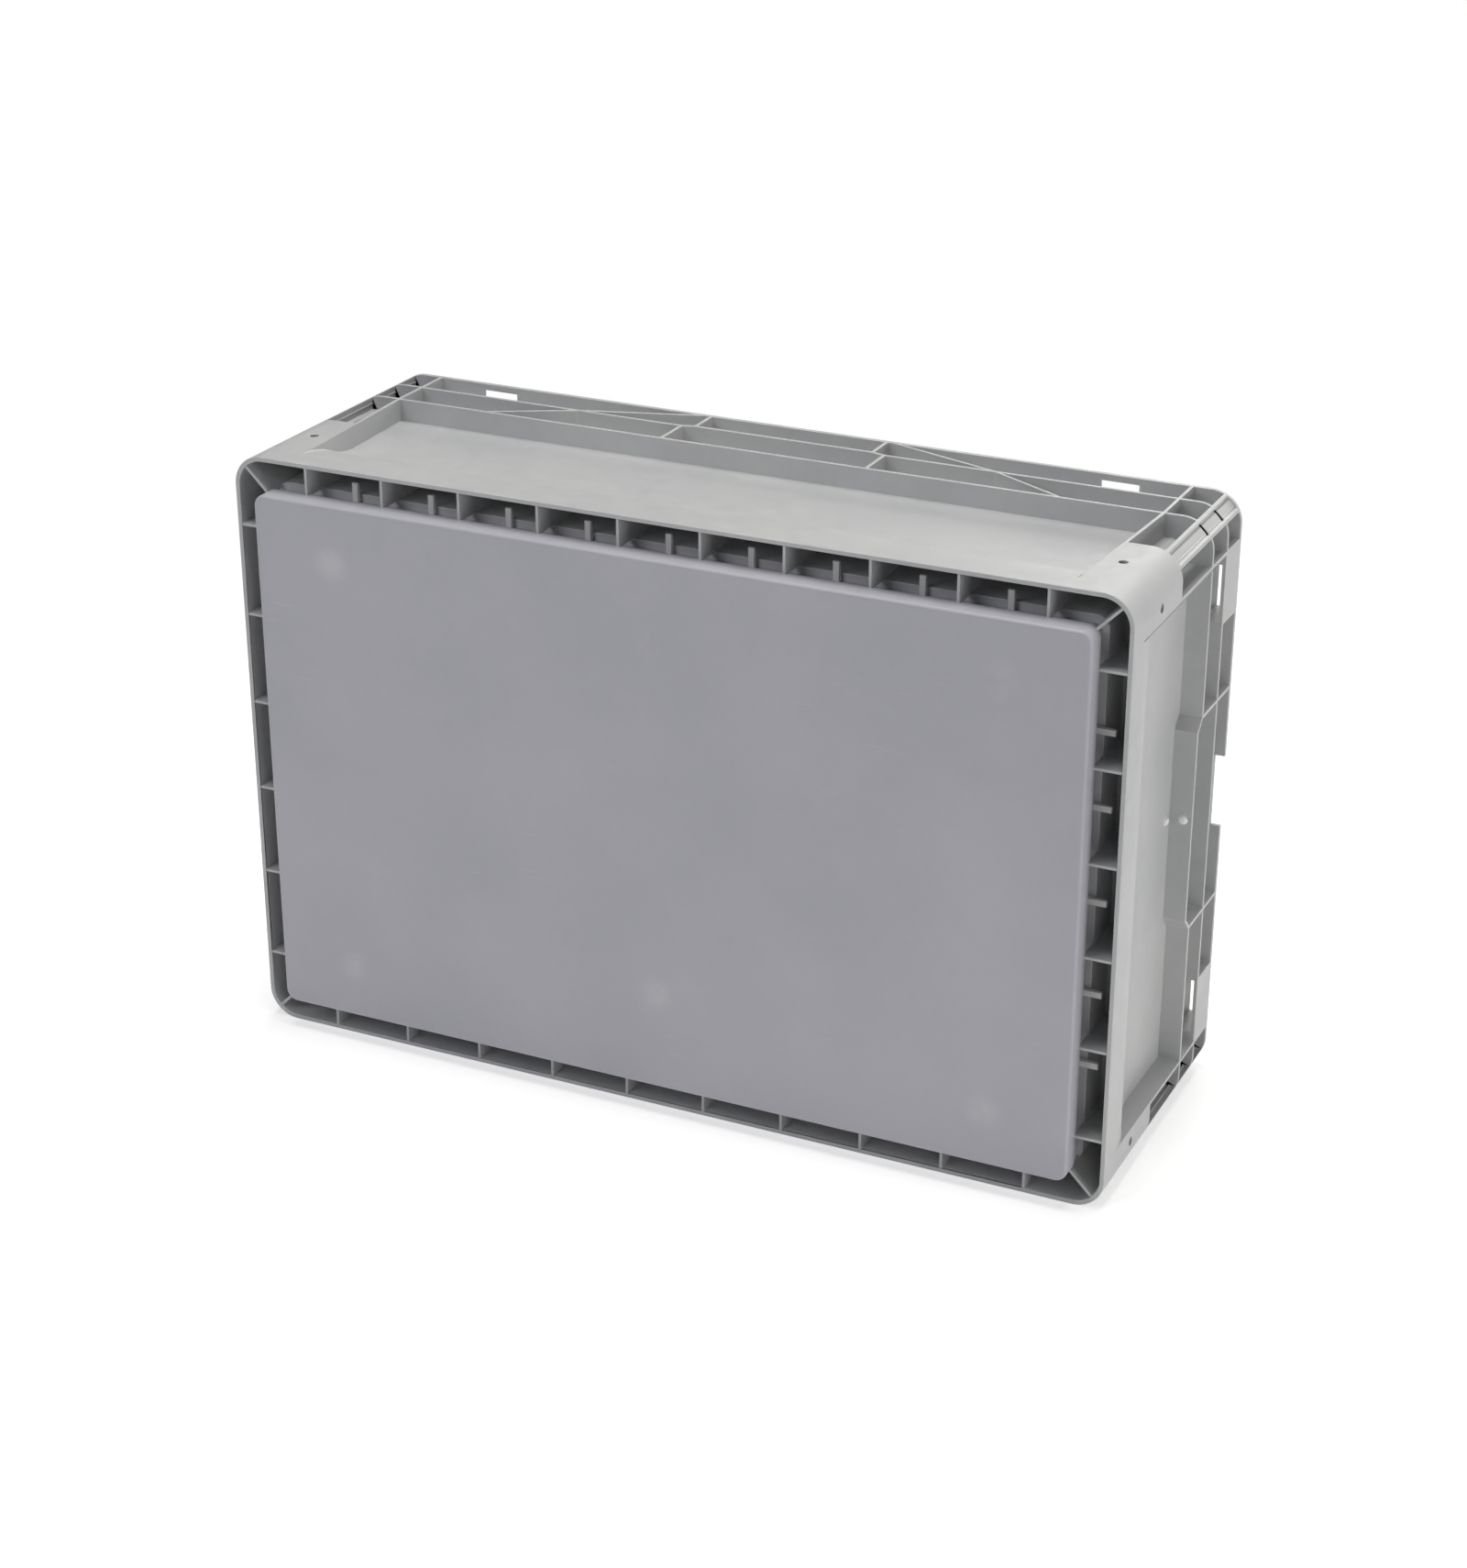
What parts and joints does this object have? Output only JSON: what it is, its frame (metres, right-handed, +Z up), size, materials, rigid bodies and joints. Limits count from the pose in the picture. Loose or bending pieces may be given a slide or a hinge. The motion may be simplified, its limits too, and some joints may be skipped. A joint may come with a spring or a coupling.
{
  "type": "plastic storage box",
  "caption": "Rectangular stacking storage box of moulded plastic with ribbed rim, sunk side walls, finger grips, a ribbed skirt and a raised closed second floor.",
  "frame": {"origin": "middle of the lower long side's outer plane, on which the box lies: the middle of the bottom of the bounding box", "axes": "+X along the box's length, +Z up across its width, +Y from the base to the open top"},
  "size_m": [0.594, 0.2134, 0.396],
  "materials": {
    "body_plastic": "light grey injection-moulded polypropylene, fine satin grain",
    "tray_plastic": "light grey injection-moulded polypropylene, satin, welded on"
  },
  "bodies": {
    "root": {"lower_side_wall": "body_plastic", "lower_side_skirt": "body_plastic", "lower_side_rim": "body_plastic", "lower_side_flanges": "body_plastic", "lower_side_ribs": "body_plastic", "upper_side_wall": "body_plastic", "upper_side_skirt": "body_plastic", "upper_side_rim": "body_plastic", "upper_side_flanges": "body_plastic", "upper_side_ribs": "body_plastic", "right_end_wall": "body_plastic", "right_end_skirt": "body_plastic", "right_end_rim": "body_plastic", "right_end_flanges": "body_plastic", "right_end_ribs": "body_plastic", "left_end_wall": "body_plastic", "left_end_skirt": "body_plastic", "left_end_rim": "body_plastic", "left_end_flanges": "body_plastic", "left_end_ribs": "body_plastic", "lower_left_wall_bend": "body_plastic", "lower_left_corner_post": "body_plastic", "lower_right_wall_bend": "body_plastic", "lower_right_corner_post": "body_plastic", "upper_left_wall_bend": "body_plastic", "upper_left_corner_post": "body_plastic", "upper_right_wall_bend": "body_plastic", "upper_right_corner_post": "body_plastic", "inner_floor": "body_plastic", "base_tray": "tray_plastic", "channel_ribs": "body_plastic", "guide_nibs": "tray_plastic"}
  },
  "joints": []
}
